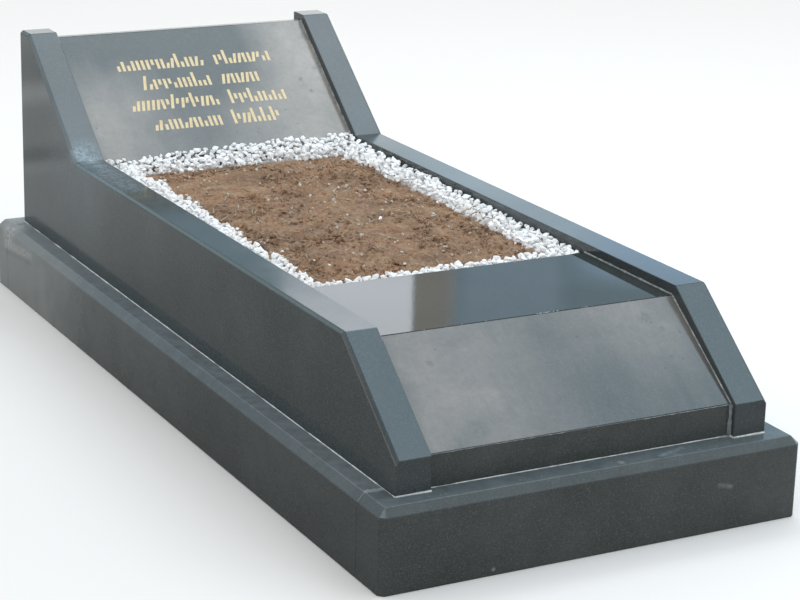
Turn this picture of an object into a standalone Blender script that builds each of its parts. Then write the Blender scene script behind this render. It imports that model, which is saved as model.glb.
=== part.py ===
# A kerbed memorial of polished dark granite: a plinth of four kerb bars, two shaped side walls,
# an inclined tablet at the head, a sloping and a level slab at the foot, and a bed of soil
# with a border of white stone chippings. Metres, +Z up. The foot is at -Y and the head at +Y.
# The origin is on the ground, in the middle of the plinth.
import math
import random

import bmesh
import bpy
from mathutils import Matrix, Vector

# Clearances
GAP = 0.0003                # left between pieces that touch
MITRE_GAP = 0.0004          # taken off each mitred end of the sloping slab, along its slope

# Plinth
PLINTH_WIDTH = 0.888
PLINTH_LENGTH = 2.026
PLINTH_HEIGHT = 0.160
PLINTH_CHAMFER = 0.015      # round the top
CORNER_CHAMFER = 0.010      # down the four corners
SIDE_LEDGE = 0.052          # what shows of the plinth's top beside the walls
FOOT_LEDGE = 0.048
HEAD_LEDGE = 0.052

# Side walls, heights above the plinth
WALL_THICKNESS = 0.071
WALL_CHAMFER = 0.006        # along the outer top edges
WALL_END_RISE = 0.065       # upright end at the foot
FOOT_SLOPE_RUN = 0.216
RAIL_FOOT_RISE = 0.236
RAIL_HEAD_RISE = 0.228
HEAD_SLOPE_RUN = 0.302
WALL_TOP_RISE = 0.467
WALL_TOP_DEPTH = 0.054

# Slabs between the walls
ARRIS = 0.0012              # easing of every slab's edges
RISER_THICKNESS = 0.030
RISER_RECESS = 0.014        # behind the ends of the walls
RISER_RISE = 0.063
SLOPING_SLAB_THICKNESS = 0.030
SLOPE_RUN = 0.211
TOP_SLAB_THICKNESS = 0.030
TOP_SLAB_RISE = 0.215       # its upper face above the plinth
TOP_SLAB_DEPTH = 0.315
TABLET_THICKNESS = 0.030
TABLET_RECESS = 0.020       # below the slopes of the walls, square to them
TABLET_TOP_DEPTH = 0.0184   # its top edge is cut level
REAR_THICKNESS = 0.020
REAR_RECESS = 0.002         # from the back edges of the walls to the rear slab
REAR_DROP = 0.012           # from the top of the tablet to the top of the rear slab

# Rows of strokes on the tablet
STROKE_DEPTH = 0.0015
STROKE_WIDTH = 0.0075
STROKE_LEAN = math.radians(14)
ROW_PITCH = 0.0610
ROW_FIRST = 0.0850          # foot of the lowest row, up the tablet from the wall's rail
ROW_WIDTHS = (0.318, 0.402, 0.300, 0.408)   # from the lowest row up
CELL_PITCH = 0.0250
STROKE_TALL = 0.043
STROKE_MID = 0.030
STROKE_SHORT = 0.017
STROKE_SEED = 11

# Bed
SOIL_DOME = 0.024           # the middle of the bed above its rim
SOIL_CLODS = 0.0035
SOIL_CELL = 0.024
SOIL_SKIRT = 0.010          # how far the domed top reaches into the earth below it
BORDER_SIDE = 0.065         # width of the stone border along the walls
BORDER_FOOT = 0.038
BORDER_HEAD = 0.030
BORDER_DEPTH = 0.029
BORDER_LUMPS = 0.009
BORDER_CELL = 0.0125
CHIPPING = 0.021            # spacing of the lumps in the border
BED_SEED = 5

# Worked out from the sizes above
half_width = PLINTH_WIDTH / 2
half_length = PLINTH_LENGTH / 2
wall_outer = half_width - SIDE_LEDGE
wall_inner = wall_outer - WALL_THICKNESS
wall_foot = -half_length + FOOT_LEDGE
wall_head = half_length - HEAD_LEDGE
slab_half = wall_inner - GAP
seat = PLINTH_HEIGHT + GAP
riser_face = wall_foot + RISER_RECESS
riser_back = riser_face + RISER_THICKNESS
lip_z = PLINTH_HEIGHT + RISER_RISE
top_slab_z = PLINTH_HEIGHT + TOP_SLAB_RISE
top_slab_foot = riser_face + SLOPE_RUN
bed_foot = top_slab_foot + TOP_SLAB_DEPTH
rear_back = wall_head - REAR_RECESS
rear_face = rear_back - REAR_THICKNESS
rim_z = top_slab_z - TOP_SLAB_THICKNESS - GAP
slope_top = (wall_head - WALL_TOP_DEPTH, PLINTH_HEIGHT + WALL_TOP_RISE)
slope_foot = (slope_top[0] - HEAD_SLOPE_RUN, PLINTH_HEIGHT + RAIL_HEAD_RISE)
head_angle = math.atan2(slope_top[1] - slope_foot[1], slope_top[0] - slope_foot[0])
foot_angle = math.atan2(top_slab_z - lip_z, SLOPE_RUN)
tablet_origin = (slope_foot[0] + TABLET_RECESS * math.sin(head_angle),
                 slope_foot[1] - TABLET_RECESS * math.cos(head_angle))
tablet_back = rear_face - GAP
tablet_top_z = tablet_origin[1] + (tablet_back - TABLET_TOP_DEPTH - tablet_origin[0]) * math.tan(head_angle)

GRANITE = ("granite", (0.028, 0.034, 0.040), 0.12)
GRANITE_REAR = ("granite_sawn", (0.060, 0.066, 0.070), 0.45)
SOIL = ("soil", (0.090, 0.055, 0.035), 0.95)
CHIPPINGS = ("white_chippings", (0.800, 0.800, 0.780), 0.60)


def clear_scene():
    for obj in list(bpy.data.objects):
        bpy.data.objects.remove(obj, do_unlink=True)


def collection(name):
    made = bpy.data.collections.new(name)
    bpy.context.scene.collection.children.link(made)
    return made


def material(name, finish):
    _, colour, roughness = finish
    made = bpy.data.materials.new(name)
    made.use_nodes = True
    shader = made.node_tree.nodes["Principled BSDF"]
    shader.inputs["Base Color"].default_value = (*colour, 1)
    shader.inputs["Roughness"].default_value = roughness
    shader.inputs["Metallic"].default_value = 0
    return made


def add_object(name, mesh, finish, home):
    obj = bpy.data.objects.new(name, mesh)
    obj.data.materials.append(material(f"{name}_{finish[0]}", finish))
    home.objects.link(obj)
    return obj


def box_mesh(name, low, high):
    size = Vector(high) - Vector(low)
    middle = (Vector(high) + Vector(low)) / 2
    bm = bmesh.new()
    bmesh.ops.create_cube(bm, size=1, matrix=Matrix.Translation(middle) @ Matrix.Diagonal((*size, 1)))
    mesh = bpy.data.meshes.new(name)
    bm.to_mesh(mesh)
    bm.free()
    return mesh


def side_profile_mesh(name, outline, half):
    """A solid with this outline of (y, z) points, reaching half to either side along X."""
    curve = bpy.data.curves.new(name, "CURVE")
    curve.dimensions = "2D"
    curve.fill_mode = "BOTH"
    curve.extrude = half
    spline = curve.splines.new("POLY")
    spline.points.add(len(outline) - 1)
    for point, (y, z) in zip(spline.points, outline):
        point.co = (y, z, 0, 1)
    spline.use_cyclic_u = True
    flat = bpy.data.objects.new(name, curve)
    flat.rotation_euler = (math.pi / 2, 0, math.pi / 2)
    bpy.context.scene.collection.objects.link(flat)
    bpy.context.view_layer.update()
    mesh = bpy.data.meshes.new_from_object(flat.evaluated_get(bpy.context.evaluated_depsgraph_get()))
    mesh.transform(flat.matrix_world)
    bpy.data.objects.remove(flat, do_unlink=True)
    bpy.data.curves.remove(curve)
    bm = bmesh.new()
    bm.from_mesh(mesh)
    bmesh.ops.remove_doubles(bm, verts=bm.verts, dist=0.00001)
    bmesh.ops.dissolve_limit(bm, angle_limit=math.radians(1), verts=bm.verts, edges=bm.edges)
    bmesh.ops.recalc_face_normals(bm, faces=bm.faces)
    bm.to_mesh(mesh)
    bm.free()
    return mesh


def chamfer(mesh, wanted, width):
    """Chamfers the edges whose two end points pass the wanted test."""
    bm = bmesh.new()
    bm.from_mesh(mesh)
    edges = [edge for edge in bm.edges if wanted(edge.verts[0].co, edge.verts[1].co)]
    bmesh.ops.bevel(bm, geom=edges, offset=width, offset_type="OFFSET", segments=1, profile=0.5, affect="EDGES")
    bm.to_mesh(mesh)
    bm.free()


def ease_edges(obj):
    bevel = obj.modifiers.new("arris", "BEVEL")
    bevel.width = ARRIS
    bevel.segments = 1
    bevel.limit_method = "ANGLE"
    bevel.angle_limit = math.radians(25)


def near(a, b):
    return abs(a - b) < 0.0001


def plinth_bars(home):
    inner_foot = riser_back
    inner_head = rear_face
    for name, outer_y, inner_y in (("plinth_foot_bar", -half_length, inner_foot),
                                   ("plinth_head_bar", half_length, inner_head)):
        low_y, high_y = sorted((outer_y, inner_y))
        mesh = box_mesh(name, (-half_width, low_y, 0), (half_width, high_y, PLINTH_HEIGHT))

        def corner(a, b, end=outer_y):
            return near(a.x, b.x) and near(a.y, end) and near(b.y, end)

        def outer_rim(a, b, inner=inner_y):
            on_top = near(a.z, PLINTH_HEIGHT) and near(b.z, PLINTH_HEIGHT)
            return on_top and not (near(a.y, inner) and near(b.y, inner))

        chamfer(mesh, corner, CORNER_CHAMFER)
        chamfer(mesh, outer_rim, PLINTH_CHAMFER)
        ease_edges(add_object(name, mesh, GRANITE, home))
    for name, side in (("plinth_left_bar", -1), ("plinth_right_bar", 1)):
        xs = sorted((side * half_width, side * wall_inner))
        mesh = box_mesh(name, (xs[0], inner_foot + GAP, 0), (xs[1], inner_head - GAP, PLINTH_HEIGHT))

        def outer_top(a, b, x=side * half_width):
            return near(a.z, PLINTH_HEIGHT) and near(b.z, PLINTH_HEIGHT) and near(a.x, x) and near(b.x, x)

        chamfer(mesh, outer_top, PLINTH_CHAMFER)
        ease_edges(add_object(name, mesh, GRANITE, home))


def side_walls(home):
    outline = [
        (wall_foot, seat),
        (wall_head, seat),
        (wall_head, slope_top[1]),
        slope_top,
        slope_foot,
        (wall_foot + FOOT_SLOPE_RUN, PLINTH_HEIGHT + RAIL_FOOT_RISE),
        (wall_foot, PLINTH_HEIGHT + WALL_END_RISE),
    ]
    for name, side in (("left_side_wall", -1), ("right_side_wall", 1)):
        mesh = side_profile_mesh(name, outline, WALL_THICKNESS / 2)
        mesh.transform(Matrix.Translation((side * (wall_inner + WALL_THICKNESS / 2), 0, 0)))

        def outer_top(a, b, x=side * wall_outer):
            on_outer = near(a.x, x) and near(b.x, x)
            upright = near(a.y, b.y)
            return on_outer and not upright and a.z > seat + ARRIS and b.z > seat + ARRIS

        chamfer(mesh, outer_top, WALL_CHAMFER)
        ease_edges(add_object(name, mesh, GRANITE, home))


def foot_outlines():
    """The riser, the sloping slab and the level slab: (y, z) outlines that meet in mitres."""
    run, rise = math.cos(foot_angle), math.sin(foot_angle)
    slope = math.tan(foot_angle)
    under = SLOPING_SLAB_THICKNESS / run
    lip = (riser_face, lip_z)
    lip_inner = (riser_back, lip_z + RISER_THICKNESS * slope - under)
    ridge = (top_slab_foot, top_slab_z)
    ridge_inner_z = top_slab_z - TOP_SLAB_THICKNESS
    ridge_inner = (riser_face + (ridge_inner_z - lip_z + under) / slope, ridge_inner_z)
    riser = [(riser_face, seat), (riser_back, seat), lip_inner, lip]
    sloping = [(y + sign * MITRE_GAP * run, z + sign * MITRE_GAP * rise)
               for (y, z), sign in ((lip, 1), (lip_inner, 1), (ridge_inner, -1), (ridge, -1))]
    level = [ridge, ridge_inner, (bed_foot, ridge_inner_z), (bed_foot, top_slab_z)]
    return riser, sloping, level, lip_inner, ridge_inner


def foot_slabs(home):
    riser, sloping, level, _, _ = foot_outlines()
    for name, outline in (("foot_riser", riser), ("foot_sloping_slab", sloping), ("foot_top_slab", level)):
        ease_edges(add_object(name, side_profile_mesh(name, outline, slab_half), GRANITE, home))


def tablet_face_y(z):
    return tablet_origin[0] + (z - tablet_origin[1]) / math.tan(head_angle)


def tablet_outline():
    through = TABLET_THICKNESS / math.sin(head_angle)
    foot = rim_z + GAP
    back_z = foot + (tablet_back - tablet_face_y(foot) - through) * math.tan(head_angle)
    return [
        (tablet_face_y(foot), foot),
        (tablet_face_y(foot) + through, foot),
        (tablet_back, back_z),
        (tablet_back, tablet_top_z),
        (tablet_back - TABLET_TOP_DEPTH, tablet_top_z),
    ]


def stroke_cells():
    """Every stroke on the tablet as (x, up, height, lean): abstract bars that spell nothing."""
    draw = random.Random(STROKE_SEED)
    strokes = []
    for row, width in enumerate(ROW_WIDTHS):
        foot = ROW_FIRST + row * ROW_PITCH
        count = round(width / CELL_PITCH)
        gap_cell = count * 3 // 5
        for cell in range(count):
            if cell == gap_cell:
                continue
            x = (cell + 0.5 - count / 2) * CELL_PITCH
            first, second = draw.choice(((STROKE_TALL, STROKE_SHORT), (STROKE_MID, STROKE_MID),
                                         (STROKE_MID, STROKE_SHORT), (STROKE_SHORT, STROKE_MID)))
            lift = draw.choice((0, STROKE_MID - STROKE_SHORT)) if second == STROKE_SHORT else 0
            lean = draw.choice((0, 0, STROKE_LEAN))
            strokes.append((x - CELL_PITCH / 4, foot, first, lean))
            strokes.append((x + CELL_PITCH / 4, foot + lift, second, lean))
    return strokes


def tablet_matrix():
    """From (across, up the face, out of the face) to the world, from the rail's level."""
    up = Vector((0, math.cos(head_angle), math.sin(head_angle)))
    across = Vector((1, 0, 0))
    out = across.cross(up)
    frame = Matrix((across, up, out)).transposed().to_4x4()
    return Matrix.Translation((0, *tablet_origin)) @ frame


def stroke_cutter(home):
    bm = bmesh.new()
    place = tablet_matrix()
    for x, foot, height, angle in stroke_cells():
        lean = Matrix.Identity(4)
        lean[0][1] = math.tan(angle)
        size = Matrix.Diagonal((STROKE_WIDTH, height, 2 * STROKE_DEPTH, 1))
        middle = Matrix.Translation((x, foot + height / 2, 0))
        bmesh.ops.create_cube(bm, size=1, matrix=place @ middle @ lean @ size)
    mesh = bpy.data.meshes.new("stroke_cutter")
    bm.to_mesh(mesh)
    bm.free()
    cutter = bpy.data.objects.new("stroke_cutter", mesh)
    cutter.hide_render = True
    cutter.display_type = "WIRE"
    home.objects.link(cutter)
    return cutter


def head_slabs(home, cutters):
    mesh = side_profile_mesh("head_tablet", tablet_outline(), slab_half)
    tablet = add_object("head_tablet", mesh, GRANITE, home)
    ease_edges(tablet)
    cut = tablet.modifiers.new("strokes", "BOOLEAN")
    cut.operation = "DIFFERENCE"
    cut.solver = "EXACT"
    cut.object = stroke_cutter(cutters)
    rear_top = tablet_top_z - REAR_DROP
    rear = box_mesh("rear_slab", (-slab_half, rear_face, seat), (slab_half, rear_back, rear_top))
    ease_edges(add_object("rear_slab", rear, GRANITE_REAR, home))


def bed_rectangle():
    """The bed at the level of its rim: low x, low y, high x, high y."""
    head = tablet_face_y(rim_z) - 2 * GAP
    return -wall_inner + 2 * GAP, bed_foot + 2 * GAP, wall_inner - 2 * GAP, head


def border_rectangle():
    low_x, low_y, high_x, high_y = bed_rectangle()
    return low_x + BORDER_SIDE, low_y + BORDER_FOOT, high_x - BORDER_SIDE, high_y - BORDER_HEAD


def plate_grid(low_x, low_y, high_x, high_y, cell):
    bm = bmesh.new()
    middle = Matrix.Translation(((low_x + high_x) / 2, (low_y + high_y) / 2, 0))
    size = Matrix.Diagonal(((high_x - low_x) / 2, (high_y - low_y) / 2, 1, 1))
    bmesh.ops.create_grid(bm, x_segments=max(2, round((high_x - low_x) / cell)),
                          y_segments=max(2, round((high_y - low_y) / cell)), size=1, matrix=middle @ size)
    return bm


def extrude_down(bm, top_z, bottom_z):
    """Gives a flat grid a depth, and returns the points that stay on top."""
    for vert in bm.verts:
        vert.co.z = bottom_z
    raised = bmesh.ops.extrude_face_region(bm, geom=list(bm.faces))["geom"]
    tops = [item for item in raised if isinstance(item, bmesh.types.BMVert)]
    for vert in tops:
        vert.co.z = top_z
    bmesh.ops.recalc_face_normals(bm, faces=bm.faces)
    return tops


def dome_mesh():
    low_x, low_y, high_x, high_y = border_rectangle()
    bm = plate_grid(low_x, low_y, high_x, high_y, SOIL_CELL)
    tops = extrude_down(bm, rim_z, rim_z - SOIL_SKIRT)
    draw = random.Random(BED_SEED)
    for vert in tops:
        u = 2 * (vert.co.x - low_x) / (high_x - low_x) - 1
        v = 2 * (vert.co.y - low_y) / (high_y - low_y) - 1
        inside = (1 - abs(u) ** 4) * (1 - abs(v) ** 6)
        vert.co.z += GAP + SOIL_DOME * max(0, inside) + draw.uniform(-1, 1) * SOIL_CLODS * (inside > 0.01)
    mesh = bpy.data.meshes.new("soil_dome")
    bm.to_mesh(mesh)
    bm.free()
    return mesh


def soil_bed(home, cutters):
    _, _, _, lip_inner, ridge_inner = foot_outlines()
    outline = [
        (riser_back + GAP, 0),
        (rear_face - GAP, 0),
        (rear_face - GAP, rim_z),
        (ridge_inner[0], rim_z),
        (riser_back + GAP, lip_inner[1] - 2 * GAP),
    ]
    mesh = side_profile_mesh("soil_bed", outline, slab_half)
    soil = add_object("soil_bed", mesh, SOIL, home)
    dome = bpy.data.objects.new("soil_dome", dome_mesh())
    dome.hide_render = True
    dome.display_type = "WIRE"
    cutters.objects.link(dome)
    join = soil.modifiers.new("dome", "BOOLEAN")
    join.operation = "UNION"
    join.solver = "EXACT"
    join.object = dome


def pebble_border(home):
    low_x, low_y, high_x, high_y = bed_rectangle()
    in_low_x, in_low_y, in_high_x, in_high_y = border_rectangle()
    bm = plate_grid(low_x, low_y, high_x, high_y, BORDER_CELL)
    inner = [face for face in bm.faces
             if in_low_x < face.calc_center_median().x < in_high_x
             and in_low_y < face.calc_center_median().y < in_high_y]
    bmesh.ops.delete(bm, geom=inner, context="FACES")
    floor = rim_z + GAP
    tops = extrude_down(bm, floor + BORDER_DEPTH, floor)
    draw = random.Random(BED_SEED)
    for vert in tops:
        side_x = min(vert.co.x - low_x, high_x - vert.co.x) / BORDER_SIDE
        side_y = min((vert.co.y - low_y) / BORDER_FOOT, (high_y - vert.co.y) / BORDER_HEAD)
        across = min(side_x, side_y, 1)
        wave = math.sin(vert.co.x * math.tau / CHIPPING) * math.sin(vert.co.y * math.tau / CHIPPING)
        vert.co.z += BORDER_LUMPS * (0.5 * wave + draw.uniform(-0.5, 0.5)) - BORDER_LUMPS * across
        at_head = max(0, 1 - (high_y - vert.co.y) / BORDER_HEAD)
        vert.co.y += at_head * (tablet_face_y(vert.co.z) - 2 * GAP - high_y)
    mesh = bpy.data.meshes.new("pebble_border")
    bm.to_mesh(mesh)
    bm.free()
    add_object("pebble_border", mesh, CHIPPINGS, home)


def build():
    clear_scene()
    home = collection("kerbed_memorial")
    cutters = collection("cutters")
    plinth_bars(home)
    side_walls(home)
    foot_slabs(home)
    head_slabs(home, cutters)
    soil_bed(home, cutters)
    pebble_border(home)


build()
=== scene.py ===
import math
import random

import bmesh
import bpy
import numpy as np
from mathutils import Matrix, Vector, noise


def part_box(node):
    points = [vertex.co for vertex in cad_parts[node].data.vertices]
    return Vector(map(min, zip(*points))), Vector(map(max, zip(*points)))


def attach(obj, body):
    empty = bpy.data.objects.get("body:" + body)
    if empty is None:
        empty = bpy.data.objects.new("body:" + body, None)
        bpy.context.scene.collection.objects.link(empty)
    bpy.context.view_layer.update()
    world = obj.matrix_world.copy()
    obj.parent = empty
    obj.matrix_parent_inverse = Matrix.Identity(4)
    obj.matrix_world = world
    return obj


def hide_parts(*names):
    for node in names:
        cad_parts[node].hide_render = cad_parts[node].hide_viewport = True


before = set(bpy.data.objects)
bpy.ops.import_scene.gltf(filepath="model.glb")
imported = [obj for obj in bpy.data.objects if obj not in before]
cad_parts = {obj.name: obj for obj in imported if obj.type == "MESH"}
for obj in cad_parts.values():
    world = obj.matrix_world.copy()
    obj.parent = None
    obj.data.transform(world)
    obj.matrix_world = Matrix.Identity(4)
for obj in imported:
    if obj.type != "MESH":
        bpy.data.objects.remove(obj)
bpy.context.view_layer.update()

# Sizes read from the frame, in metres: +X is to the right seen from the foot, +Y to the head, +Z up

SLAB_LOW, SLAB_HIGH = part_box("foot_top_slab")
WALL_LOW, WALL_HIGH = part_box("left_side_wall")
SLOPE_LOW, SLOPE_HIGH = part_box("foot_sloping_slab")
BAR_LOW, BAR_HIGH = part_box("plinth_left_bar")
BORDER_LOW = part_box("pebble_border")[0]
WALL_INNER = -WALL_HIGH[0]
WALL_OUTER = -WALL_LOW[0]
PLINTH_SIDE = -BAR_LOW[0]
PLINTH_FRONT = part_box("plinth_foot_bar")[0][1]
LEDGE_Z = BAR_HIGH[2]
RISER_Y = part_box("foot_riser")[0][1]
RISER_TOP_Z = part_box("foot_riser")[1][2]
REAR_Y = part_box("rear_slab")[1][1]
RIM_Z = BORDER_LOW[2]
SOIL_TOP_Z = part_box("soil_bed")[1][2]
TABLET_TOP_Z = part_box("head_tablet")[1][2]


def tablet_plane():
    """The tablet face's angle above the level, and the y of its upper edge."""
    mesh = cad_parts["head_tablet"].data
    facing = (face for face in mesh.polygons if face.normal.y < -0.3 and face.normal.z > 0.3)
    largest = max(facing, key=lambda face: face.area)
    angle = math.atan2(-largest.normal.y, largest.normal.z)
    point = mesh.vertices[largest.vertices[0]].co
    return angle, point.y + (TABLET_TOP_Z - point.z) / math.tan(angle)


TABLET_ANGLE, TABLET_FACE_TOP = tablet_plane()


def tablet_y(z):
    return TABLET_FACE_TOP - (TABLET_TOP_Z - z) / math.tan(TABLET_ANGLE)


BED_EDGE_Z = RIM_Z + 0.011
BED_FOOT = float(BORDER_LOW[1])
BED_HEAD = float(tablet_y(RIM_Z)) - 0.001

UP, LEFT, RIGHT, TO_FOOT, TO_HEAD = (0, 0, 1), (-1, 0, 0), (1, 0, 0), (0, -1, 0), (0, 1, 0)

# What keeps a bead of mortar off the plane of the stone
CLEAR = 0.0001


# Camera, at the place and angle that the photograph was taken from

CAMERA_PLACE = (-2.1797, -4.2828, 1.6997)
CAMERA_TURN = (1.2668, -0.0258, -0.4859)
CAMERA_SENSOR = 36
CAMERA_LENS = 105.65


def add_camera():
    data = bpy.data.cameras.new("camera")
    data.sensor_width = CAMERA_SENSOR
    data.lens = CAMERA_LENS
    data.clip_end = 200
    camera = bpy.data.objects.new("camera", data)
    camera.location = CAMERA_PLACE
    camera.rotation_euler = CAMERA_TURN
    bpy.context.scene.collection.objects.link(camera)
    bpy.context.scene.camera = camera


# Node helpers

class Graph:
    """Short calls for one node tree, of a material or of the world."""

    def __init__(self, owner, shader, place):
        owner.use_nodes = True
        self.owner = owner
        self.tree = owner.node_tree
        self.shader = self.tree.nodes[shader]
        self.place = self.node("ShaderNodeTexCoord").outputs[place]

    def put(self, value, socket):
        """Link a node's output to a socket, or set a number, a point or a colour on it."""
        if hasattr(value, "is_linked"):
            self.tree.links.new(value, socket)
        else:
            socket.default_value = (*value, 1) if socket.type == "RGBA" else value

    def node(self, kind, inputs=None, **settings):
        made = self.tree.nodes.new(kind)
        for key, value in settings.items():
            setattr(made, key, value)
        for key, value in (inputs or {}).items():
            self.put(value, made.inputs[key])
        return made

    def move(self, offset=(0, 0, 0), scale=(1, 1, 1)):
        inputs = {"Vector": self.place, "Location": offset, "Scale": scale}
        return self.node("ShaderNodeMapping", inputs).outputs["Vector"]

    def noise(self, scale, detail=3, rough=0.5, at=None, distort=0):
        inputs = {"Vector": at or self.place, "Scale": scale, "Detail": detail, "Roughness": rough,
                  "Distortion": distort}
        return self.node("ShaderNodeTexNoise", inputs).outputs["Fac"]

    def cells(self, scale):
        return self.node("ShaderNodeTexVoronoi", {"Vector": self.place, "Scale": scale})

    def cell_tone(self, scale, channel="Red"):
        """A number from 0 to 1 for each cell."""
        return self.node("ShaderNodeSeparateColor", {0: self.cells(scale).outputs["Color"]}).outputs[channel]

    def ramp(self, source, stops):
        """Colours along a number, from stops of (number, colour)."""
        made = self.node("ShaderNodeValToRGB", {"Fac": source})
        elements = made.color_ramp.elements
        while len(elements) < len(stops):
            elements.new(0.5)
        for element, (at, colour) in zip(elements, stops):
            element.position = at
            element.color = (*colour, 1)
        return made.outputs["Color"]

    def span(self, source, low, high, to_low=0, to_high=1, how="LINEAR"):
        inputs = {"Value": source, "From Min": low, "From Max": high, "To Min": to_low, "To Max": to_high}
        return self.node("ShaderNodeMapRange", inputs, interpolation_type=how).outputs["Result"]

    def between(self, source, low, high, soft):
        """1 from low to high and 0 outside, with soft edges."""
        return self.math("MULTIPLY", self.span(source, low - soft, low + soft),
                         self.span(source, high - soft, high + soft, 1, 0))

    def math(self, how, a, b=0.5):
        return self.node("ShaderNodeMath", {0: a, 1: b}, operation=how).outputs[0]

    def mix(self, share, a, b):
        inputs = {"Factor": share, "A": a, "B": b}
        return self.node("ShaderNodeMix", inputs, data_type="RGBA").outputs["Result"]

    def near(self, point, radius, weight):
        """Weight at a point, fading to nothing at a radius round it."""
        away = self.node("ShaderNodeVectorMath", {0: self.place, 1: point}, operation="DISTANCE")
        return self.span(away.outputs["Value"], radius, radius * 0.15, 0, weight, "SMOOTHSTEP")

    def axis(self, name, source=None):
        return self.node("ShaderNodeSeparateXYZ", {0: source or self.place}).outputs[name]

    def mirrored(self):
        """1 for what a polished surface mirrors, 0 for what is seen or lit directly."""
        return self.node("ShaderNodeLightPath").outputs["Is Glossy Ray"]

    def bump(self, height, strength, distance):
        made = self.node("ShaderNodeBump", {"Strength": strength, "Distance": distance, "Height": height})
        self.put(made.outputs["Normal"], self.shader.inputs["Normal"])

    def finish(self, colour, rough, **sockets):
        self.put(colour, self.shader.inputs["Base Color"])
        self.put(rough, self.shader.inputs["Roughness"])
        for name, value in sockets.items():
            self.put(value, self.shader.inputs[name.replace("_", " ")])
        return self.owner


def surface(name):
    """The node graph of a new material, in the object's own metres."""
    return Graph(bpy.data.materials.new(name), "Principled BSDF", "Object")


# Materials

CRYSTAL_DARK = (0.021, 0.024, 0.023)
CRYSTAL_MID = (0.035, 0.039, 0.037)
CRYSTAL_LIGHT = (0.070, 0.078, 0.077)


def crystals(g):
    """The granite's own colour: fine crystals in cloudy depth."""
    stops = ((0.0, CRYSTAL_DARK), (0.50, CRYSTAL_MID), (0.86, CRYSTAL_MID), (1.0, CRYSTAL_LIGHT))
    grain = g.ramp(g.cell_tone(620), stops)
    return g.mix(g.span(g.noise(5.5, 4, 0.55), 0.38, 0.70, 0.0, 0.22), grain, CRYSTAL_LIGHT)


def film_mask(g, film, even, vary, streaks, patches):
    """How thick the film on the stone is, from 0 to film: cloudy, more or less of it in patches and streaks,
    and broken up by smudges and fine grain."""
    mask = g.span(g.noise(3.4, 5, 0.6, g.move((3.1, 1.7, 0.4))), 0.34, 0.68, even, even + vary)
    for point, radius, weight in patches:
        mask = g.math("ADD", mask, g.near(point, radius, weight))
    if streaks:
        runs = g.noise(18, 4, 0.6, g.move((0.3, 0.0, 0.0), (1.0, 0.10, 0.10)))
        mask = g.math("ADD", mask, g.span(runs, 0.40, 0.72, -0.5 * streaks, streaks))
    smudge = g.span(g.noise(14, 5, 0.65, distort=0.4), 0.32, 0.70, 0.72, 1.10)
    mask = g.math("MULTIPLY", mask, smudge)
    fine = g.span(g.noise(90, 5, 0.7), 0.28, 0.72, 0.78, 1.0)
    mask = g.math("MULTIPLY", g.math("MAXIMUM", g.math("MINIMUM", mask, 1.0), 0.0), fine)
    return g.math("MULTIPLY", mask, film)


def rain_dots(g):
    """Small round spots that dried rain leaves, in some places only."""
    dots = g.span(g.cells(30).outputs["Distance"], 0.04, 0.10, 0.55, 0.0)
    return g.math("MULTIPLY", dots, g.span(g.noise(6, 2), 0.52, 0.60))


def lying_dust(g, dust):
    """Dust on what faces up."""
    normal = g.node("ShaderNodeNewGeometry").outputs["Normal"]
    upward = g.span(g.axis("Z", normal), 0.58, 1.0, 0.0, dust)
    return g.math("MULTIPLY", upward, g.span(g.noise(26, 5, 0.7), 0.30, 0.66, 0.60, 1.20))


def granite(name, film=0.50, even=0.05, vary=0.08, film_colour=(0.30, 0.31, 0.30), rough=0.08,
            dust=0.0, dust_colour=(0.22, 0.28, 0.31), streaks=0.0, haze=0.7, patches=(), stains=()):
    """Polished dark granite with a thin film of dust and dried rain.

    Film is the thickest that the film gets, and haze is how rough it makes the stone.
    Dust lies on what faces up. Streaks run along Y and Z, so down a slope.
    Each patch is (point, radius, weight): where the film is thicker or thinner.
    Each stain is (point, radius, weight, colour); a few of them are not stains but painted highlights,
    glints and reflections."""
    g = surface(name)
    mask = film_mask(g, film, even, vary, streaks, patches)
    body = g.mix(mask, crystals(g), film_colour)
    body = g.mix(rain_dots(g), body, CRYSTAL_DARK)
    if dust:
        body = g.mix(lying_dust(g, dust), body, dust_colour)
    # Stains, and a few painted highlights, glints and reflections, laid over the stone's colour
    for point, radius, weight, colour in stains:
        broken = g.span(g.noise(120, 4, 0.7), 0.35, 0.60)
        body = g.mix(g.math("MULTIPLY", g.near(point, radius, weight), broken), body, colour)
    gloss = g.span(g.noise(9, 3), 0.3, 0.7, rough * 0.85, rough * 1.3)
    g.bump(g.noise(160, 3, 0.6), 0.04, 0.0003)
    return g.finish(body, g.math("ADD", g.math("MULTIPLY", mask, haze), gloss), IOR=1.5)


def sawn_granite(name):
    """Unpolished granite with the marks of the saw across it and dull stains down it."""
    g = surface(name)
    stops = ((0.25, (0.030, 0.034, 0.036)), (0.6, (0.068, 0.075, 0.078)), (0.9, (0.16, 0.17, 0.17)))
    body = g.ramp(g.noise(520, 3, 0.7), stops)
    lines = g.noise(60, 2, 0.5, g.move(scale=(0.04, 1, 6)))
    body = g.mix(g.span(lines, 0.4, 0.6, 0.0, 0.25), body, (0.11, 0.115, 0.115))
    stain = g.noise(7, 5, 0.6, g.move(scale=(1.6, 1, 0.25)))
    body = g.mix(g.span(stain, 0.5, 0.75, 0.0, 0.35), body, (0.17, 0.155, 0.13))
    g.bump(g.noise(900, 3, 0.7), 0.25, 0.0006)
    return g.finish(body, g.span(stain, 0.3, 0.7, 0.50, 0.72), IOR=1.5)


def mortar(name, colour, dark, spread=0.5):
    """Rough mortar or sealant, with dark dirt in its pores and over a share of it."""
    g = surface(name)
    tone = g.mix(g.span(g.noise(90, 5, 0.7), 0.34, 0.62), dark, colour)
    tone = g.mix(g.span(g.noise(14, 3, 0.6), 0.45, 0.72, 0.0, spread), tone, dark)
    g.bump(g.noise(800, 3, 0.7), 0.5, 0.0008)
    return g.finish(tone, 0.85)


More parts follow.
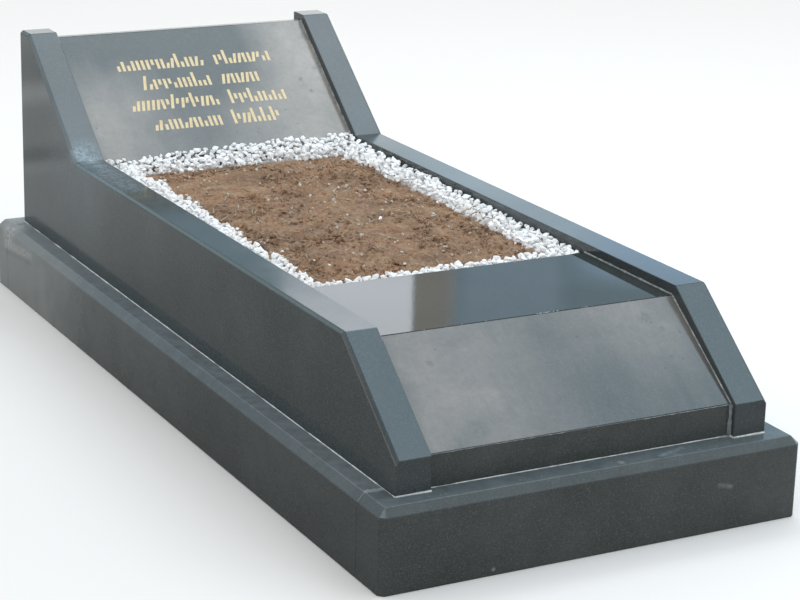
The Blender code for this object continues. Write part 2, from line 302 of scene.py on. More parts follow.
def gold(name):
    """Gold paint, brushed on unevenly."""
    g = surface(name)
    stops = ((0.28, (0.45, 0.30, 0.13)), (0.45, (0.70, 0.55, 0.31)), (0.72, (0.80, 0.68, 0.44)))
    tone = g.ramp(g.noise(260, 4, 0.65), stops)
    g.bump(g.noise(900, 2, 0.6), 0.3, 0.0004)
    return g.finish(tone, g.span(g.noise(300, 2), 0.3, 0.7, 0.40, 0.65), Metallic=0.1)


def marble(name):
    """Broken white marble, each chipping a little different, with grey and brown dust on some."""
    g = surface(name)
    stops = ((0.0, (0.93, 0.93, 0.925)), (0.30, (0.97, 0.97, 0.975)), (1.0, (0.99, 0.99, 0.995)))
    tone = g.ramp(g.cell_tone(75), stops)
    tone = g.mix(g.span(g.noise(170, 5, 0.65), 0.52, 0.80, 0.0, 0.12), tone, (0.78, 0.78, 0.78))
    tone = g.mix(g.span(g.noise(24, 4, 0.6), 0.64, 0.84, 0.0, 0.28), tone, (0.70, 0.62, 0.52))
    g.bump(g.noise(420, 4, 0.7), 0.30, 0.0008)
    return g.finish(tone, g.span(g.noise(80, 2), 0.3, 0.7, 0.45, 0.65), Subsurface_Weight=0.30,
                    Subsurface_Scale=0.008, Subsurface_Radius=(1, 1, 1))


def stone_dust(g):
    """Where stone dust lies on the earth under the white chippings."""
    side = g.span(g.math("ABSOLUTE", g.axis("X")), WALL_INNER - 0.062, WALL_INNER - 0.044)
    foot = g.span(g.axis("Y"), BED_FOOT + 0.036, BED_FOOT + 0.022)
    head = g.span(g.axis("Y"), BED_HEAD - 0.032, BED_HEAD - 0.016)
    return g.math("MAXIMUM", g.math("MAXIMUM", side, foot), head)


def earth(name, base=(0.345, 0.212, 0.130), dark=(0.155, 0.096, 0.066), dry=(0.530, 0.380, 0.260),
          fines=False):
    """Crumbly brown earth, in places darker, redder or drier; fines adds the dust under the chippings."""
    g = surface(name)
    tone = g.ramp(g.noise(110, 8, 0.75), ((0.32, dark), (0.50, base), (0.70, dry)))
    tone = g.mix(g.span(g.noise(8, 5, 0.62), 0.44, 0.66, 0.0, 0.58), tone, dark)
    red = g.noise(12, 4, 0.6, g.move((9.0, 5.0, 2.0)))
    tone = g.mix(g.span(red, 0.50, 0.66, 0.0, 0.42), tone, (0.40, 0.215, 0.115))
    crust = g.noise(19, 4, 0.6, g.move((4.0, 2.0, 1.0)))
    tone = g.mix(g.span(crust, 0.52, 0.72, 0.0, 0.5), tone, dry)
    tone = g.mix(g.span(g.cell_tone(240, "Green"), 0.975, 0.985), tone, (0.36, 0.30, 0.24))
    if fines:
        tone = g.mix(stone_dust(g), tone, (0.80, 0.79, 0.77))
    g.bump(g.noise(430, 6, 0.78), 0.9, 0.0030)
    return g.finish(tone, 0.95, IOR=1.35)


def debris(name, light, dark):
    """Small stones or dry twigs."""
    g = surface(name)
    tone = g.ramp(g.noise(120, 4, 0.6), ((0.3, dark), (0.7, light)))
    g.bump(g.noise(600, 3), 0.3, 0.0006)
    return g.finish(tone, 0.8)


# How light the floor is where the stone mirrors it, from stops of (y in metres, tone)
FLOOR_BANDS = ((-0.6, 0.20), (0.75, 0.32), (1.55, 0.50), (1.95, 0.54), (2.03, 0.68), (2.09, 0.64),
               (2.13, 0.33), (2.24, 0.33), (2.30, 0.58), (2.80, 0.58), (2.93, 0.94), (3.06, 0.94),
               (3.18, 0.50), (3.50, 0.52), (4.10, 0.80))


def floor_material():
    """A pale floor. What the polished stone mirrors of it is darker, as ground round a memorial is."""
    g = surface("floor")
    pale = g.ramp(g.noise(0.7, 2), ((0.3, (0.92, 0.90, 0.88)), (0.7, (0.93, 0.91, 0.89))))
    low, high = FLOOR_BANDS[0][0], FLOOR_BANDS[-1][0]
    stops = [((y - low) / (high - low), (tone * 0.985, tone, tone * 0.99)) for y, tone in FLOOR_BANDS]
    banded = g.ramp(g.span(g.axis("Y"), low, high), stops)
    return g.finish(g.mix(g.mirrored(), pale, banded), 0.95, IOR=1.2)


# Mesh helpers

def finish_piece(name, mesh, material, smooth=False):
    """Make a mesh a piece that rides on the one body."""
    for face in mesh.polygons:
        face.use_smooth = smooth
    mesh.materials.append(material)
    piece = bpy.data.objects.new(name, mesh)
    bpy.context.scene.collection.objects.link(piece)
    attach(piece, "root")
    return piece


def add_piece(name, bm, material):
    """A piece from closed shapes in a bmesh, which is freed."""
    bmesh.ops.recalc_face_normals(bm, faces=bm.faces)
    mesh = bpy.data.meshes.new(name)
    bm.to_mesh(mesh)
    bm.free()
    finish_piece(name, mesh, material)


def add_arrays(name, points, faces, material, smooth=False):
    """A piece from lists of points and faces."""
    mesh = bpy.data.meshes.new(name)
    mesh.from_pydata([tuple(point) for point in points], [], [tuple(face) for face in faces])
    mesh.update()
    return finish_piece(name, mesh, material, smooth)


def tube(bm, rings):
    """A closed skin over a row of rings with as many points each."""
    rows = [[bm.verts.new(point) for point in ring] for ring in rings]
    for a, b in zip(rows, rows[1:]):
        for i in range(len(a)):
            j = (i + 1) % len(a)
            bm.faces.new((a[i], a[j], b[j], b[i]))
    bm.faces.new(rows[0][::-1])
    bm.faces.new(rows[-1])


def bead(bm, start, end, first, second, radius, draw, step=0.012, spread=0.45, gaps=0.0):
    """A rough fillet of mortar in the corner between two faces; first and second point along them."""
    start, end = Vector(start), Vector(end)
    first, second = Vector(first).normalized(), Vector(second).normalized()
    count = max(2, int((end - start).length / step))
    seed = draw.uniform(0, 100)
    rings = []
    for i in range(count + 1):
        at = start.lerp(end, i / count)
        rough = noise.noise(Vector((seed, i * step * 35, 0)))
        size = radius * (1 + spread * rough + spread * 0.5 * draw.uniform(-1, 1))
        if gaps and noise.noise(Vector((seed + 9, i * step * 12, 1))) > gaps:
            size *= 0.35
        rings.append((at, at + first * size, at + (first + second) * size * 0.42, at + second * size))
    tube(bm, rings)


def smear(bm, start, end, normal, width, draw, thick=0.0004):
    """A thin flat trail of mortar wiped over a joint that runs across the memorial, as a closed strip."""
    start, end, across, normal = (Vector(v) for v in (start, end, TO_HEAD, normal))
    count = max(2, int((end - start).length / 0.004))
    rings = []
    for i in range(count + 1):
        at = start.lerp(end, i / count) + across * draw.uniform(-0.12, 0.12) * width
        half = width * draw.uniform(0.32, 0.58)
        rise = normal * thick * draw.uniform(0.6, 1.2)
        rings.append((at - across * half, at - across * half * 0.6 + rise,
                      at + across * half * 0.6 + rise, at + across * half))
    tube(bm, rings)


# The stone of each slab

CEMENT = (0.42, 0.42, 0.40)
RUST = (0.30, 0.11, 0.04)
DIRT = (0.03, 0.03, 0.03)
WET_DIRT = (0.03, 0.035, 0.035)
GRIME = (0.04, 0.045, 0.05)
THIN_GRIME = (0.05, 0.055, 0.06)


def wear(node, material):
    """Put a material on a CAD node."""
    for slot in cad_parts[node].material_slots:
        slot.material = material


def spots(colour, *places):
    """Marks of one colour, from places of (point, radius, weight): mostly stains, and a few painted
    highlights, glints and reflections.
    """
    return tuple((*place, colour) for place in places)


def trail(start, end, count, radius, weight, colour):
    """A row of such marks from one point to another."""
    start, end = Vector(start), Vector(end)
    return spots(colour, *((tuple(start.lerp(end, i / (count - 1))), radius, weight) for i in range(count)))


def dress_plinth():
    """Dust on the ledge, haze and wiped cement at the head end, and a few marks on the foot bar, one of them
    a painted highlight streaked along the foot ledge.
    """
    hazy = (((-0.44, 1.05, 0.06), 0.80, 1.08), ((-0.44, 0.40, 0.04), 0.75, 0.16),
            ((0.44, -1.01, 0.10), 0.18, 0.10), ((0.10, -1.01, 0.08), 0.35, 0.02))
    marks = spots(CEMENT, ((-0.425, 0.93, 0.15), 0.060, 0.8), ((-0.40, 0.99, 0.15), 0.050, 0.7),
                  ((0.06, -0.985, 0.156), 0.012, 0.9), ((0.172, -0.991, 0.157), 0.006, 0.8),
                  ((-0.217, -1.013, 0.012), 0.006, 0.4))
    marks += trail((0.262, -1.013, 0.092), (0.287, -1.013, 0.086), 4, 0.008, 0.22, CEMENT)
    marks += trail((0.444, -1.010, 0.030), (0.444, -1.010, 0.062), 4, 0.013, 0.60, RUST)
    # A painted highlight: pale blue-grey streaks along the foot ledge, where light glances off it
    marks += trail((0.145, -0.986, 0.158), (0.200, -0.970, 0.160), 6, 0.011, 0.30, (0.40, 0.47, 0.51))
    marks += trail((-0.444, 0.955, 0.112), (-0.444, 0.775, 0.128), 15, 0.020, 0.26, CEMENT)
    marks += trail((-0.444, 0.950, 0.094), (-0.444, 0.775, 0.112), 20, 0.012, 0.26, (0.06, 0.06, 0.06))
    bars = granite("granite_plinth", film=0.62, even=0.09, vary=0.058, rough=0.10, dust=0.67,
                   dust_colour=(0.24, 0.28, 0.30), patches=hazy, stains=marks)
    for node in ("plinth_head_bar", "plinth_left_bar", "plinth_right_bar"):
        wear(node, bars)
    foot_bar = granite("granite_foot_bar", even=0.11, vary=0.07, rough=0.10, dust=0.40, patches=hazy,
                       stains=marks)
    wear("plinth_foot_bar", foot_bar)


def dress_walls():
    """Haze on the rails, most of it below the slopes at the head, with pale trails on the left one, and at
    its head end a scuffed patch lightened by a painted highlight.
    """
    hazy = (((-0.36, 0.58, 0.38), 0.26, 0.28), ((0.36, -0.14, 0.52), 0.30, 0.42),
            ((0.36, 0.60, 0.38), 0.22, 0.20), ((-0.44, 0.80, 0.10), 0.30, 0.10),
            ((-0.36, -1.0, 0.17), 0.12, 0.11), ((0.36, -1.0, 0.17), 0.12, 0.14))
    marks = spots(CEMENT, ((-0.345, 0.60, 0.3755), 0.030, 0.7), ((0.36, -0.78, 0.34), 0.006, 0.6))
    marks += trail((-0.357, 0.62, 0.408), (-0.357, 0.34, 0.408), 7, 0.058, 0.34, (0.31, 0.45, 0.54))
    # A scuffed patch at the left rail's head end, lightened with a painted bluish highlight
    marks += trail((-0.372, 0.628, 0.396), (-0.352, 0.560, 0.396), 3, 0.026, 0.40, (0.42, 0.52, 0.58))
    walls = granite("granite_walls", even=0.035, vary=0.06, film_colour=(0.25, 0.315, 0.36), rough=0.085,
                    dust=0.08, patches=hazy, stains=marks)
    for node in ("left_side_wall", "right_side_wall"):
        wear(node, walls)


def dress_slope():
    """Brown haze, thick at the left and the upper right and thin below, with smears of grime, and a speck of
    cement on the ridge that also paints a glint there.
    """
    hazy = (((-0.26, -0.84, 0.30), 0.36, 0.58), ((0.22, -0.76, 0.36), 0.26, 0.46),
            ((0.20, -0.95, 0.23), 0.26, -0.24), ((-0.20, -0.96, 0.22), 0.14, -0.16),
            ((0.02, -0.86, 0.29), 0.18, -0.18))
    marks = spots(WET_DIRT, ((-0.290, -0.735, 0.380), 0.020, 0.45), ((-0.262, -0.732, 0.382), 0.010, 0.5))
    marks += spots((0.04, 0.04, 0.045), ((-0.240, -0.800, 0.333), 0.012, 0.5))
    marks += spots(THIN_GRIME, ((-0.25, -0.955, 0.222), 0.045, 0.4), ((-0.205, -0.925, 0.245), 0.030, 0.35),
                   ((0.235, -0.775, 0.350), 0.022, 0.5), ((0.262, -0.800, 0.333), 0.010, 0.5))
    # A speck of cement on the ridge that also paints the glint along it
    marks += spots(CEMENT, ((0.12, -0.722, 0.388), 0.014, 0.8))
    slope = granite("granite_slope", film=0.60, even=0.21, vary=0.20, film_colour=(0.415, 0.362, 0.325),
                    rough=0.09, streaks=0.10, haze=0.25, patches=hazy, stains=marks)
    wear("foot_sloping_slab", slope)


def dress_top_slab():
    """The cleanest polish, with dirt washed out of the bed onto its edge, and a painted reflection: a dark
    patch at its far right.
    """
    # A painted reflection: a dark patch at the slab's far right, where it mirrors something darker
    marks = spots((0.02, 0.025, 0.03), ((0.28, -0.455, 0.375), 0.050, 0.35))
    marks += spots(DIRT, ((-0.26, -0.432, 0.375), 0.016, 0.8), ((-0.155, -0.430, 0.375), 0.012, 0.8),
                   ((-0.05, -0.430, 0.375), 0.010, 0.8))
    wear("foot_top_slab", granite("granite_top", even=0.02, vary=0.05, rough=0.012, stains=marks))


def dress_tablet():
    """Brown haze, thick at the right and thin along the upper left, with smears of grime."""
    hazy = (((-0.28, 0.90, 0.590), 0.24, -0.50), ((0.00, 0.90, 0.590), 0.28, -0.52),
            ((0.14, 0.83, 0.535), 0.18, -0.22), ((-0.08, 0.66, 0.400), 0.24, -0.24),
            ((-0.27, 0.73, 0.460), 0.22, 0.22), ((-0.14, 0.86, 0.560), 0.12, 0.08),
            ((0.33, 0.72, 0.450), 0.32, 0.34), ((0.30, 0.88, 0.580), 0.24, 0.32),
            ((-0.02, 0.78, 0.500), 0.20, -0.16))
    marks = spots(GRIME, ((0.255, 0.775, 0.497), 0.012, 0.7), ((0.268, 0.745, 0.473), 0.010, 0.7),
                  ((0.300, 0.800, 0.515), 0.009, 0.7), ((-0.22, 0.76, 0.485), 0.008, 0.5))
    marks += spots(THIN_GRIME, ((0.180, 0.872, 0.573), 0.014, 0.5), ((0.310, 0.880, 0.580), 0.020, 0.5))
    tablet = granite("granite_tablet", film=0.88, even=0.34, vary=0.18, film_colour=(0.44, 0.392, 0.352),
                     rough=0.08, streaks=0.08, haze=0.16, patches=hazy, stains=marks)
    wear("head_tablet", tablet)


def dress_stone():
    dress_plinth()
    dress_walls()
    wear("foot_riser", granite("granite_riser", even=0.13, vary=0.05, rough=0.10))
    dress_slope()
    dress_top_slab()
    dress_tablet()
    wear("rear_slab", sawn_granite("granite_rear"))
    wear("soil_bed", earth("earth_block"))


# Gilding, mortar and chipped edges

# How far the paint stays below the tablet's face and above the floor of the cut
PAINT_BELOW, PAINT_ABOVE = 0.0003, 0.0001
SEALANT = 0.0019


def fill_strokes():
    """Gold paint in the tablet's strokes, laid on the floor of each cut."""
    bm = bmesh.new()
    bm.from_mesh(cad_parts["head_tablet"].data)
    bmesh.ops.remove_doubles(bm, verts=bm.verts, dist=0.00002)
    areas = {}
    for face in bm.faces:
        if face.normal.y < -0.3 and face.normal.z > 0.3:
            level = round(face.calc_center_median().dot(face.normal), 4)
            areas[level] = areas.get(level, 0) + face.calc_area()
            normal = face.normal.copy()
    levels = sorted(areas, key=areas.get, reverse=True)[:2]
    face_level, floor_level = max(levels), min(levels)
    floors = {face for face in bm.faces if face.normal.dot(normal) > 0.999
              and abs(face.calc_center_median().dot(normal) - floor_level) < 0.0003}
    bmesh.ops.delete(bm, geom=[face for face in bm.faces if face not in floors], context="FACES")
    bmesh.ops.dissolve_limit(bm, angle_limit=0.02, verts=bm.verts, edges=bm.edges)
    raised = bmesh.ops.extrude_face_region(bm, geom=list(bm.faces))["geom"]
    for vert in (item for item in raised if isinstance(item, bmesh.types.BMVert)):
        vert.co += normal * (face_level - floor_level - PAINT_BELOW)
    for vert in bm.verts:
        if vert not in raised:
            vert.co += normal * PAINT_ABOVE
    add_piece("stroke_gilding", bm, gold("gold_paint"))


def foot_sealant(draw):
    """Sealant where the walls, the riser and the rear slab stand on the plinth."""
    front, back, z = WALL_LOW[1], WALL_HIGH[1], LEDGE_Z + CLEAR
    bm = bmesh.new()
    for side, out, within in ((-1, LEFT, RIGHT), (1, RIGHT, LEFT)):
        inner, outer = side * WALL_INNER, side * WALL_OUTER
        x = side * (WALL_OUTER + CLEAR)
        bead(bm, (x, front, z), (x, back, z), out, UP, SEALANT * 0.75, draw, gaps=0.25)
        y = front - CLEAR
        bead(bm, (inner, y, z), (outer, y, z), TO_FOOT, UP, SEALANT * 1.2, draw, spread=0.3)
        y = back + CLEAR
        bead(bm, (inner, y, z), (outer, y, z), TO_HEAD, UP, SEALANT, draw, gaps=0.3)
        x = side * (WALL_INNER - CLEAR)
        bead(bm, (x, front, z), (x, RISER_Y, z), within, UP, SEALANT * 1.2, draw)
    y = RISER_Y - CLEAR
    bead(bm, (-WALL_INNER, y, z), (WALL_INNER, y, z), TO_FOOT, UP, SEALANT * 0.62, draw, gaps=0.42)
    y = REAR_Y + CLEAR
    bead(bm, (-WALL_INNER, y, z), (WALL_INNER, y, z), TO_HEAD, UP, 0.0016, draw, gaps=0.3)
    white = mortar("sealant", (0.74, 0.76, 0.75), (0.40, 0.43, 0.43))
    add_piece("foot_sealant", bm, white)


def slab_mortar(draw):
    """Mortar beside the sloping slab, the level slab and the tablet, and along the top of the riser."""
    slope = Vector((0, SLOPE_HIGH[1] - SLOPE_LOW[1], SLOPE_HIGH[2] - RISER_TOP_Z)).normalized()
    out_of_slope = Vector((0, -slope.z, slope.y))
    lip = Vector((0, RISER_Y, RISER_TOP_Z)) + out_of_slope * 0.0002
    ridge = Vector((0, SLAB_LOW[1], SLAB_HIGH[2])) + out_of_slope * 0.0002
    up_tablet = Vector((0, math.cos(TABLET_ANGLE), math.sin(TABLET_ANGLE)))
    out_of_tablet = Vector((0, -up_tablet.z, up_tablet.y))
    bm = bmesh.new()
    for side, within in ((-1, RIGHT), (1, LEFT)):
        x = side * (WALL_INNER - CLEAR)
        bead(bm, (x, lip.y, lip.z), (x, ridge.y, ridge.z), within, out_of_slope, 0.0020, draw)
        z = SLAB_HIGH[2] + CLEAR
        bead(bm, (x, SLAB_LOW[1], z), (x, SLAB_HIGH[1], z), within, UP, 0.0022, draw)
        top = Vector((x, TABLET_FACE_TOP, TABLET_TOP_Z)) + out_of_tablet * 0.0002
        low = top - up_tablet * ((TABLET_TOP_Z - RIM_Z - 0.02) / up_tablet.z)
        bead(bm, low, top, within, out_of_tablet, 0.0026, draw)
    x, y = WALL_INNER - 0.002, RISER_Y - CLEAR
    bead(bm, (-x, y, RISER_TOP_Z), (x, y, RISER_TOP_Z), TO_FOOT, (0, 0, -1), 0.0010, draw,
         step=0.006, spread=0.8, gaps=0.15)
    grey = mortar("joint_mortar", (0.42, 0.43, 0.42), (0.12, 0.13, 0.13), 0.6)
    add_piece("slab_joint_mortar", bm, grey)


def riser_mortar(draw):
    """Dull mortar up both ends of the riser, wider at the right."""
    bm = bmesh.new()
    for side, within, width in ((-1, RIGHT, 0.0020), (1, LEFT, 0.0046)):
        x, y = side * (WALL_INNER - CLEAR), RISER_Y - CLEAR
        bead(bm, (x, y, LEDGE_Z + CLEAR), (x, y, RISER_TOP_Z), within, TO_FOOT, width, draw, step=0.006)
    dull = mortar("dull_mortar", (0.22, 0.24, 0.245), (0.11, 0.12, 0.12))
    add_piece("riser_joint_mortar", bm, dull)


def joints():
    """Sealant at the feet of the slabs and mortar between them."""
    draw = random.Random(21)
    foot_sealant(draw)
    slab_mortar(draw)
    riser_mortar(draw)


def plinth_smears():
    """Mortar wiped over the joints of the plinth's bars, and on the ledge by the riser's right end."""
    draw = random.Random(63)
    verts = [v.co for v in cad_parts["plinth_left_bar"].data.vertices]
    ledge_x = -min(v.x for v in verts if v.z > LEDGE_Z - 0.0003)
    side_z = max(v.z for v in verts if v.x < -PLINTH_SIDE + 0.0003)
    bm = bmesh.new()
    for side in (-1, 1):
        out_of_bevel = Vector((side * (LEDGE_Z - side_z), 0, PLINTH_SIDE - ledge_x)).normalized()
        wall, edge, rim = side * (WALL_OUTER + 0.002), side * ledge_x, side * PLINTH_SIDE
        for y, width in ((BAR_LOW[1], 0.0150), (BAR_HIGH[1], 0.0110)):
            smear(bm, (wall, y, LEDGE_Z), (edge, y, LEDGE_Z), UP, width, draw)
            end = (rim * 0.998, y, side_z + rim * side * 0.002)
            smear(bm, (edge, y, LEDGE_Z), end, out_of_bevel, width * 0.8, draw)
    for reach, out in ((0.034, 0.0035), (0.020, 0.0050), (0.010, 0.0070)):
        y = RISER_Y - out / 2
        smear(bm, (WALL_INNER - reach, y, LEDGE_Z), (WALL_INNER, y, LEDGE_Z), UP, out, draw, 0.0008)
    wiped = mortar("wiped_mortar", (0.33, 0.38, 0.395), (0.17, 0.20, 0.21))
    add_piece("plinth_joint_mortar", bm, wiped)


def edge_chips_and_ridge_glint():
    """Small pale chips knocked out along the arrises, and specks of mortar.

    They lie on the foot bar's arris, the riser's, the ridge of the slabs and the left ledge, with two rows
    of larger ones on the ridge that paint the glint along it."""
    draw = random.Random(77)
    shapes = stone_shapes(draw, 8, 12, (0.25, 0.45))
    bar, riser, ridge, ledge = range(4)
    places = []
    for _ in range(46):
        edge = draw.randrange(ledge + 1)
        x = draw.uniform(-WALL_INNER + 0.01, WALL_INNER - 0.01)
        if edge == bar:
            x = draw.uniform(-PLINTH_SIDE + 0.03, PLINTH_SIDE - 0.03)
            y, z = PLINTH_FRONT + draw.uniform(0.022, 0.034), LEDGE_Z
        elif edge == riser:
            y, z = RISER_Y - 0.0002, RISER_TOP_Z - 0.0004
        elif edge == ridge:
            y, z = SLAB_LOW[1], SLAB_HIGH[2]
        else:
            x = -WALL_OUTER - draw.uniform(0.004, 0.022)
            y, z = draw.uniform(-0.9, 0.9), LEDGE_Z
        places.append((x, y, z, draw.uniform(0.0006, 0.0017), 0.15))
    # Two rows of larger pale specks on the ridge: a painted glint along it
    for count, low, high in ((22, 0.018, 0.066), (7, 0.116, 0.134)):
        for _ in range(count):
            x, size = draw.uniform(low, high), draw.uniform(0.0013, 0.0024)
            places.append((x, SLAB_LOW[1], SLAB_HIGH[2], size, 0.15))
    broken = mortar("chipped_stone_and_glint", (0.55, 0.58, 0.58), (0.25, 0.28, 0.28))
    scatter("edge_chips_and_ridge_glint", places, shapes, broken, draw)


# Bed

def stone_shapes(draw, count, points, flat, width=(0.68, 0.92)):
    """Angular chips: hulls of random points on a squashed ball.

    Flat and width are the least and greatest thickness and width against a length of 1."""
    shapes = []
    for _ in range(count):
        bm = bmesh.new()
        wide, thick = draw.uniform(*width), draw.uniform(*flat)
        for _ in range(points):
            v = Vector((draw.gauss(0, 1), draw.gauss(0, 1), draw.gauss(0, 1))).normalized()
            v *= draw.uniform(0.82, 1.0)
            bm.verts.new((v.x, v.y * wide, v.z * thick))
        bmesh.ops.convex_hull(bm, input=bm.verts)
        loose = [v for v in bm.verts if not v.link_faces]
        bmesh.ops.delete(bm, geom=loose, context="VERTS")
        bmesh.ops.dissolve_limit(bm, angle_limit=0.30, verts=bm.verts, edges=bm.edges)
        bmesh.ops.triangulate(bm, faces=bm.faces)
        bm.verts.index_update()
        shapes.append((np.array([v.co[:] for v in bm.verts]),
                       np.array([[v.index for v in face.verts] for face in bm.faces])))
        bm.free()
    return shapes


def scatter(name, places, shapes, material, draw):
    """One mesh of many stones: places is a list of (x, y, z, size, tilt), tilt being how far they lean."""
    points, faces, base = [], [], 0
    for x, y, z, size, tilt in places:
        shape_points, shape_faces = shapes[draw.randrange(len(shapes))]
        heading = Matrix.Rotation(draw.uniform(0, math.tau), 3, "Z")
        lean = Matrix.Rotation(draw.gauss(0, tilt), 3, "X")
        turn = heading @ lean @ Matrix.Rotation(draw.gauss(0, tilt), 3, "Y")
        moved = shape_points @ (np.array(turn) * size).T + np.array((x, y, z))
        points.append(moved)
        faces.append(shape_faces + base)
        base += len(moved)
    return add_arrays(name, np.concatenate(points), np.concatenate(faces), material)


class Heap:
    """A height map that stones are dropped on, one after another."""

    def __init__(self, low, high, cell, base):
        self.low, self.cell = low, cell
        nx, ny = int((high[0] - low[0]) / cell) + 1, int((high[1] - low[1]) / cell) + 1
        xs = low[0] + (np.arange(nx) + 0.5) * cell
        ys = low[1] + (np.arange(ny) + 0.5) * cell
        self.x, self.y = np.meshgrid(xs, ys, indexing="ij")
        self.z = base(self.x, self.y)

    def patch(self, x, y, radius):
        """The cells round a point, and which of them lie within a radius."""
        i0 = max(0, int((x - radius - self.low[0]) / self.cell))
        i1 = min(self.z.shape[0], int((x + radius - self.low[0]) / self.cell) + 1)
        j0 = max(0, int((y - radius - self.low[1]) / self.cell))
        j1 = min(self.z.shape[1], int((y + radius - self.low[1]) / self.cell) + 1)
        window = (slice(i0, i1), slice(j0, j1))
        near = ((self.x[window] - x) ** 2 + (self.y[window] - y) ** 2) < radius ** 2
        return window, near

    def rest(self, x, y, radius, share):
        """The height that a share of the cells within a radius lie below."""
        window, near = self.patch(x, y, radius)
        here = self.z[window][near]
        return float(np.quantile(here, share)) if here.size else float(self.z.min())

    def cover(self, x, y, radius, top):
        """Raise the map with a dome of that radius and top."""
        window, near = self.patch(x, y, radius)
        fall = 1 - ((self.x[window] - x) ** 2 + (self.y[window] - y) ** 2) / radius ** 2
        dome = top - (1 - np.clip(fall, 0, 1)) * radius * 0.5
        self.z[window] = np.where(near, np.maximum(self.z[window], dome), self.z[window])


def soil_height(x, y):
    """Height of the earth's surface, without its crumbs."""
    u = np.clip(np.abs(x) / (WALL_INNER - 0.050), 0, 1)
    mid = (BED_FOOT + BED_HEAD) / 2
    v = np.clip(np.abs(y - mid) / ((BED_HEAD - BED_FOOT) / 2 - 0.03), 0, 1)
    dome = (1 - u ** 4) * (1 - v ** 6)
    return BED_EDGE_Z + (SOIL_TOP_Z - 0.0025 - BED_EDGE_Z) * dome


# The skin of the earth: its flat underside, and its points across and along
SKIN_BOTTOM_Z = RIM_Z + 0.0005
SKIN_POINTS = (150, 238)


def crumbly_height(x, y):
    """Height of the earth's surface with its clods and crumbs, which flatten out towards the border."""
    base = float(soil_height(np.array(x), np.array(y)))
    clods = noise.fractal(Vector((x * 16, y * 16, 3.3)), 1.0, 2.2, 3)
    fine = noise.fractal(Vector((x * 70, y * 70, 8.1)), 0.7, 2.1, 4)
    tiny = noise.noise(Vector((x * 330, y * 330, 1.7)))
    inside = min(1.0, 0.15 + (base - BED_EDGE_Z) / 0.008)
    lift = inside * (0.0052 * clods + 0.0048 * fine + 0.0014 * tiny) + 0.0004 * tiny
    return max(SKIN_BOTTOM_Z + 0.0008, base + lift)


def soil_surface():
    """The earth's crumbly surface, as one closed skin just over the CAD block."""
    nx, ny = SKIN_POINTS
    xs = np.linspace(-WALL_INNER + 0.001, WALL_INNER - 0.001, nx)
    ys = np.linspace(BED_FOOT + 0.001, BED_HEAD - 0.001, ny)
    points = [(x, y, crumbly_height(x, y)) for x in xs for y in ys]
    faces = []
    for i in range(nx - 1):
        for j in range(ny - 1):
            a, b = i * ny + j, (i + 1) * ny + j
            faces.append((a, b, b + 1, a + 1))
    rim = [i * ny for i in range(nx)] + [(nx - 1) * ny + j for j in range(1, ny)]
    rim += [i * ny + ny - 1 for i in range(nx - 2, -1, -1)] + list(range(ny - 2, 0, -1))
    under = range(len(points), len(points) + len(rim))
    points += [(points[k][0], points[k][1], SKIN_BOTTOM_Z) for k in rim]
    for k in range(len(rim)):
        n = (k + 1) % len(rim)
        faces.append((rim[n], rim[k], under[k], under[n]))
    faces.append(tuple(under))
    add_arrays("soil_surface", points, faces, earth("earth_surface", fines=True), True)


# Widths of the stone border by the left and the right wall, at the foot and at the head
BORDER_LEFT, BORDER_RIGHT, BORDER_FOOT, BORDER_HEAD = 0.076, 0.064, 0.044, 0.082
# One chipping is dropped in each square of this pitch; the middles of those at the foot stay below this top
CHIP_PITCH = 0.0122
CHIP_SIZES = (0.0070, 0.0124)
CHIP_TOP_Z = 0.3715
CHIP_TILT = 0.36
# Cells of the height map, and how far it goes on over the foot of the tablet
HEAP_CELL, HEAP_OVER = 0.0025, 0.05


def border_depth(x, y):
    """How far inside the stone border a point is: 1 at the wall, 0 at its inner edge."""
    wobble = noise.noise(Vector((x * 14, y * 14, 5.0))) * 0.26
    wobble += noise.noise(Vector((x * 45, y * 45, 2.0))) * 0.14
    side = (WALL_INNER - abs(x)) / (BORDER_RIGHT if x > 0 else BORDER_LEFT)
    foot = (y - BED_FOOT) / BORDER_FOOT
    head = (BED_HEAD + 0.045 - y) / BORDER_HEAD
    return 1 - min(side, foot, head) + wobble


def bed_ground(x, y):
    """What the stones lie on: the earth, and the foot of the tablet at the head."""
    return np.maximum(soil_height(x, y), RIM_Z + (y - BED_HEAD) * math.tan(TABLET_ANGLE))


def chip_limit(x, y, depth):
    """The highest that a chipping's middle may lie: a little higher to the head and at the right, lower at
    the border's inner edge, and heaped against the tablet, less so at the left."""
    along = (y - BED_FOOT) / (BED_HEAD - BED_FOOT)
    limit = CHIP_TOP_Z + 0.007 * along + 0.004 * (x > 0) - 0.012 * max(0.0, 0.45 - depth)
    heaped = min(1.0, max(0.25, (x + 0.26) / 0.18))
    return limit + 0.011 * heaped * max(0.0, 1 - (BED_HEAD + 0.05 - y) / 0.08)


